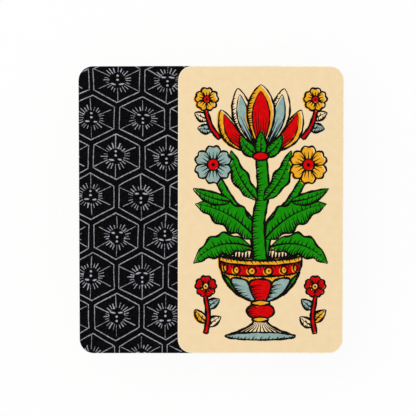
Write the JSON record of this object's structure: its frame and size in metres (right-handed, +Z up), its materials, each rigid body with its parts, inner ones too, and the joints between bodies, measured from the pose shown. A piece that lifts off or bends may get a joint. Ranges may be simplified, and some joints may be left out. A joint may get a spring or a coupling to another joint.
{
  "type": "tarot card deck",
  "caption": "Squared pile of loose tarot cards with rounded corners, lying face down, with the top card turned face up and the top two cards slid apart.",
  "frame": {"origin": "on the surface the deck lies on, under the middle of the pile", "axes": "+Z up through the pile, +Y along the cards towards the top of the face-up card, +X across them towards the face-up card"},
  "size_m": [0.1114, 0.1208, 0.0257],
  "materials": {
    "printed_back": "matte",
    "printed_face": "matte"
  },
  "bodies": {
    "trump_packet": {"trump_packet": "printed_back"},
    "pile_card_01": {"pile_card_01": "printed_back"},
    "pile_card_02": {"pile_card_02": "printed_back"},
    "pile_card_03": {"pile_card_03": "printed_back"},
    "pile_card_04": {"pile_card_04": "printed_back"},
    "pile_card_05": {"pile_card_05": "printed_back"},
    "pile_card_06": {"pile_card_06": "printed_back"},
    "pile_card_07": {"pile_card_07": "printed_back"},
    "pile_card_08": {"pile_card_08": "printed_back"},
    "pile_card_09": {"pile_card_09": "printed_back"},
    "pile_card_10": {"pile_card_10": "printed_back"},
    "pile_card_11": {"pile_card_11": "printed_back"},
    "pile_card_12": {"pile_card_12": "printed_back"},
    "pile_card_13": {"pile_card_13": "printed_back"},
    "pile_card_14": {"pile_card_14": "printed_back"},
    "pile_card_15": {"pile_card_15": "printed_back"},
    "pile_card_16": {"pile_card_16": "printed_back"},
    "pile_card_17": {"pile_card_17": "printed_back"},
    "pile_card_18": {"pile_card_18": "printed_back"},
    "pile_card_19": {"pile_card_19": "printed_back"},
    "pile_card_20": {"pile_card_20": "printed_back"},
    "pile_card_21": {"pile_card_21": "printed_back"},
    "pile_card_22": {"pile_card_22": "printed_back"},
    "pile_card_23": {"pile_card_23": "printed_back"},
    "pile_card_24": {"pile_card_24": "printed_back"},
    "pile_card_25": {"pile_card_25": "printed_back"},
    "pile_card_26": {"pile_card_26": "printed_back"},
    "pile_card_27": {"pile_card_27": "printed_back"},
    "pile_card_28": {"pile_card_28": "printed_back"},
    "pile_card_29": {"pile_card_29": "printed_back"},
    "pile_card_30": {"pile_card_30": "printed_back"},
    "pile_card_31": {"pile_card_31": "printed_back"},
    "pile_card_32": {"pile_card_32": "printed_back"},
    "pile_card_33": {"pile_card_33": "printed_back"},
    "pile_card_34": {"pile_card_34": "printed_back"},
    "pile_card_35": {"pile_card_35": "printed_back"},
    "pile_card_36": {"pile_card_36": "printed_back"},
    "pile_card_37": {"pile_card_37": "printed_back"},
    "pile_card_38": {"pile_card_38": "printed_back"},
    "pile_card_39": {"pile_card_39": "printed_back"},
    "pile_card_40": {"pile_card_40": "printed_back"},
    "pile_card_41": {"pile_card_41": "printed_back"},
    "pile_card_42": {"pile_card_42": "printed_back"},
    "pile_card_43": {"pile_card_43": "printed_back"},
    "pile_card_44": {"pile_card_44": "printed_back"},
    "pile_card_45": {"pile_card_45": "printed_back"},
    "pile_card_46": {"pile_card_46": "printed_back"},
    "pile_card_47": {"pile_card_47": "printed_back"},
    "pile_card_48": {"pile_card_48": "printed_back"},
    "pile_card_49": {"pile_card_49": "printed_back"},
    "pile_card_50": {"pile_card_50": "printed_back"},
    "pile_card_51": {"pile_card_51": "printed_back"},
    "pile_card_52": {"pile_card_52": "printed_back"},
    "pile_card_53": {"pile_card_53": "printed_back"},
    "pile_card_54": {"pile_card_54": "printed_back"},
    "face_down_card": {"face_down_card": "printed_back"},
    "face_up_card": {"face_up_card": "printed_face"}
  },
  "joints": [
    {"name": "cut_slide", "type": "slide", "parent": "trump_packet", "child": "pile_card_18", "axis": [0, 1, 0], "range_m": [-0.058, 0.058]},
    {"name": "face_up_card_slide", "type": "slide", "parent": "pile_card_18", "child": "face_up_card", "axis": [1, 0, 0], "range_m": [-0.0538, 0.0122]},
    {"name": "face_down_card_slide", "type": "slide", "parent": "pile_card_18", "child": "face_down_card", "axis": [1, 0, 0], "range_m": [-0.0122, 0.0538]},
    {"name": "pile_card_54_slide", "type": "slide", "parent": "pile_card_18", "child": "pile_card_54", "axis": [1, 0, 0], "range_m": [-0.033, 0.033]},
    {"name": "pile_card_53_slide", "type": "slide", "parent": "pile_card_18", "child": "pile_card_53", "axis": [1, 0, 0], "range_m": [-0.033, 0.033]},
    {"name": "pile_card_52_slide", "type": "slide", "parent": "pile_card_18", "child": "pile_card_52", "axis": [1, 0, 0], "range_m": [-0.033, 0.033]},
    {"name": "pile_card_51_slide", "type": "slide", "parent": "pile_card_18", "child": "pile_card_51", "axis": [1, 0, 0], "range_m": [-0.033, 0.033]},
    {"name": "pile_card_50_slide", "type": "slide", "parent": "pile_card_18", "child": "pile_card_50", "axis": [1, 0, 0], "range_m": [-0.033, 0.033]},
    {"name": "pile_card_49_slide", "type": "slide", "parent": "pile_card_18", "child": "pile_card_49", "axis": [1, 0, 0], "range_m": [-0.033, 0.033]},
    {"name": "pile_card_48_slide", "type": "slide", "parent": "pile_card_18", "child": "pile_card_48", "axis": [1, 0, 0], "range_m": [-0.033, 0.033]},
    {"name": "pile_card_47_slide", "type": "slide", "parent": "pile_card_18", "child": "pile_card_47", "axis": [1, 0, 0], "range_m": [-0.033, 0.033]},
    {"name": "pile_card_46_slide", "type": "slide", "parent": "pile_card_18", "child": "pile_card_46", "axis": [1, 0, 0], "range_m": [-0.033, 0.033]},
    {"name": "pile_card_45_slide", "type": "slide", "parent": "pile_card_18", "child": "pile_card_45", "axis": [1, 0, 0], "range_m": [-0.033, 0.033]},
    {"name": "pile_card_44_slide", "type": "slide", "parent": "pile_card_18", "child": "pile_card_44", "axis": [1, 0, 0], "range_m": [-0.033, 0.033]},
    {"name": "pile_card_43_slide", "type": "slide", "parent": "pile_card_18", "child": "pile_card_43", "axis": [1, 0, 0], "range_m": [-0.033, 0.033]},
    {"name": "pile_card_42_slide", "type": "slide", "parent": "pile_card_18", "child": "pile_card_42", "axis": [1, 0, 0], "range_m": [-0.033, 0.033]},
    {"name": "pile_card_41_slide", "type": "slide", "parent": "pile_card_18", "child": "pile_card_41", "axis": [1, 0, 0], "range_m": [-0.033, 0.033]},
    {"name": "pile_card_40_slide", "type": "slide", "parent": "pile_card_18", "child": "pile_card_40", "axis": [1, 0, 0], "range_m": [-0.033, 0.033]},
    {"name": "pile_card_39_slide", "type": "slide", "parent": "pile_card_18", "child": "pile_card_39", "axis": [1, 0, 0], "range_m": [-0.033, 0.033]},
    {"name": "pile_card_38_slide", "type": "slide", "parent": "pile_card_18", "child": "pile_card_38", "axis": [1, 0, 0], "range_m": [-0.033, 0.033]},
    {"name": "pile_card_37_slide", "type": "slide", "parent": "pile_card_18", "child": "pile_card_37", "axis": [1, 0, 0], "range_m": [-0.033, 0.033]},
    {"name": "pile_card_36_slide", "type": "slide", "parent": "pile_card_18", "child": "pile_card_36", "axis": [1, 0, 0], "range_m": [-0.033, 0.033]},
    {"name": "pile_card_35_slide", "type": "slide", "parent": "pile_card_18", "child": "pile_card_35", "axis": [1, 0, 0], "range_m": [-0.033, 0.033]},
    {"name": "pile_card_34_slide", "type": "slide", "parent": "pile_card_18", "child": "pile_card_34", "axis": [1, 0, 0], "range_m": [-0.033, 0.033]},
    {"name": "pile_card_33_slide", "type": "slide", "parent": "pile_card_18", "child": "pile_card_33", "axis": [1, 0, 0], "range_m": [-0.033, 0.033]},
    {"name": "pile_card_32_slide", "type": "slide", "parent": "pile_card_18", "child": "pile_card_32", "axis": [1, 0, 0], "range_m": [-0.033, 0.033]},
    {"name": "pile_card_31_slide", "type": "slide", "parent": "pile_card_18", "child": "pile_card_31", "axis": [1, 0, 0], "range_m": [-0.033, 0.033]},
    {"name": "pile_card_30_slide", "type": "slide", "parent": "pile_card_18", "child": "pile_card_30", "axis": [1, 0, 0], "range_m": [-0.033, 0.033]},
    {"name": "pile_card_29_slide", "type": "slide", "parent": "pile_card_18", "child": "pile_card_29", "axis": [1, 0, 0], "range_m": [-0.033, 0.033]},
    {"name": "pile_card_28_slide", "type": "slide", "parent": "pile_card_18", "child": "pile_card_28", "axis": [1, 0, 0], "range_m": [-0.033, 0.033]},
    {"name": "pile_card_27_slide", "type": "slide", "parent": "pile_card_18", "child": "pile_card_27", "axis": [1, 0, 0], "range_m": [-0.033, 0.033]},
    {"name": "pile_card_26_slide", "type": "slide", "parent": "pile_card_18", "child": "pile_card_26", "axis": [1, 0, 0], "range_m": [-0.033, 0.033]},
    {"name": "pile_card_25_slide", "type": "slide", "parent": "pile_card_18", "child": "pile_card_25", "axis": [1, 0, 0], "range_m": [-0.033, 0.033]},
    {"name": "pile_card_24_slide", "type": "slide", "parent": "pile_card_18", "child": "pile_card_24", "axis": [1, 0, 0], "range_m": [-0.033, 0.033]},
    {"name": "pile_card_23_slide", "type": "slide", "parent": "pile_card_18", "child": "pile_card_23", "axis": [1, 0, 0], "range_m": [-0.033, 0.033]},
    {"name": "pile_card_22_slide", "type": "slide", "parent": "pile_card_18", "child": "pile_card_22", "axis": [1, 0, 0], "range_m": [-0.033, 0.033]},
    {"name": "pile_card_21_slide", "type": "slide", "parent": "pile_card_18", "child": "pile_card_21", "axis": [1, 0, 0], "range_m": [-0.033, 0.033]},
    {"name": "pile_card_20_slide", "type": "slide", "parent": "pile_card_18", "child": "pile_card_20", "axis": [1, 0, 0], "range_m": [-0.033, 0.033]},
    {"name": "pile_card_19_slide", "type": "slide", "parent": "pile_card_18", "child": "pile_card_19", "axis": [1, 0, 0], "range_m": [-0.033, 0.033]},
    {"name": "pile_card_17_slide", "type": "slide", "parent": "trump_packet", "child": "pile_card_17", "axis": [1, 0, 0], "range_m": [-0.033, 0.033]},
    {"name": "pile_card_16_slide", "type": "slide", "parent": "trump_packet", "child": "pile_card_16", "axis": [1, 0, 0], "range_m": [-0.033, 0.033]},
    {"name": "pile_card_15_slide", "type": "slide", "parent": "trump_packet", "child": "pile_card_15", "axis": [1, 0, 0], "range_m": [-0.033, 0.033]},
    {"name": "pile_card_14_slide", "type": "slide", "parent": "trump_packet", "child": "pile_card_14", "axis": [1, 0, 0], "range_m": [-0.033, 0.033]},
    {"name": "pile_card_13_slide", "type": "slide", "parent": "trump_packet", "child": "pile_card_13", "axis": [1, 0, 0], "range_m": [-0.033, 0.033]},
    {"name": "pile_card_12_slide", "type": "slide", "parent": "trump_packet", "child": "pile_card_12", "axis": [1, 0, 0], "range_m": [-0.033, 0.033]},
    {"name": "pile_card_11_slide", "type": "slide", "parent": "trump_packet", "child": "pile_card_11", "axis": [1, 0, 0], "range_m": [-0.033, 0.033]},
    {"name": "pile_card_10_slide", "type": "slide", "parent": "trump_packet", "child": "pile_card_10", "axis": [1, 0, 0], "range_m": [-0.033, 0.033]},
    {"name": "pile_card_09_slide", "type": "slide", "parent": "trump_packet", "child": "pile_card_09", "axis": [1, 0, 0], "range_m": [-0.033, 0.033]},
    {"name": "pile_card_08_slide", "type": "slide", "parent": "trump_packet", "child": "pile_card_08", "axis": [1, 0, 0], "range_m": [-0.033, 0.033]},
    {"name": "pile_card_07_slide", "type": "slide", "parent": "trump_packet", "child": "pile_card_07", "axis": [1, 0, 0], "range_m": [-0.033, 0.033]},
    {"name": "pile_card_06_slide", "type": "slide", "parent": "trump_packet", "child": "pile_card_06", "axis": [1, 0, 0], "range_m": [-0.033, 0.033]},
    {"name": "pile_card_05_slide", "type": "slide", "parent": "trump_packet", "child": "pile_card_05", "axis": [1, 0, 0], "range_m": [-0.033, 0.033]},
    {"name": "pile_card_04_slide", "type": "slide", "parent": "trump_packet", "child": "pile_card_04", "axis": [1, 0, 0], "range_m": [-0.033, 0.033]},
    {"name": "pile_card_03_slide", "type": "slide", "parent": "trump_packet", "child": "pile_card_03", "axis": [1, 0, 0], "range_m": [-0.033, 0.033]},
    {"name": "pile_card_02_slide", "type": "slide", "parent": "trump_packet", "child": "pile_card_02", "axis": [1, 0, 0], "range_m": [-0.033, 0.033]},
    {"name": "pile_card_01_slide", "type": "slide", "parent": "trump_packet", "child": "pile_card_01", "axis": [1, 0, 0], "range_m": [-0.033, 0.033]}
  ]
}
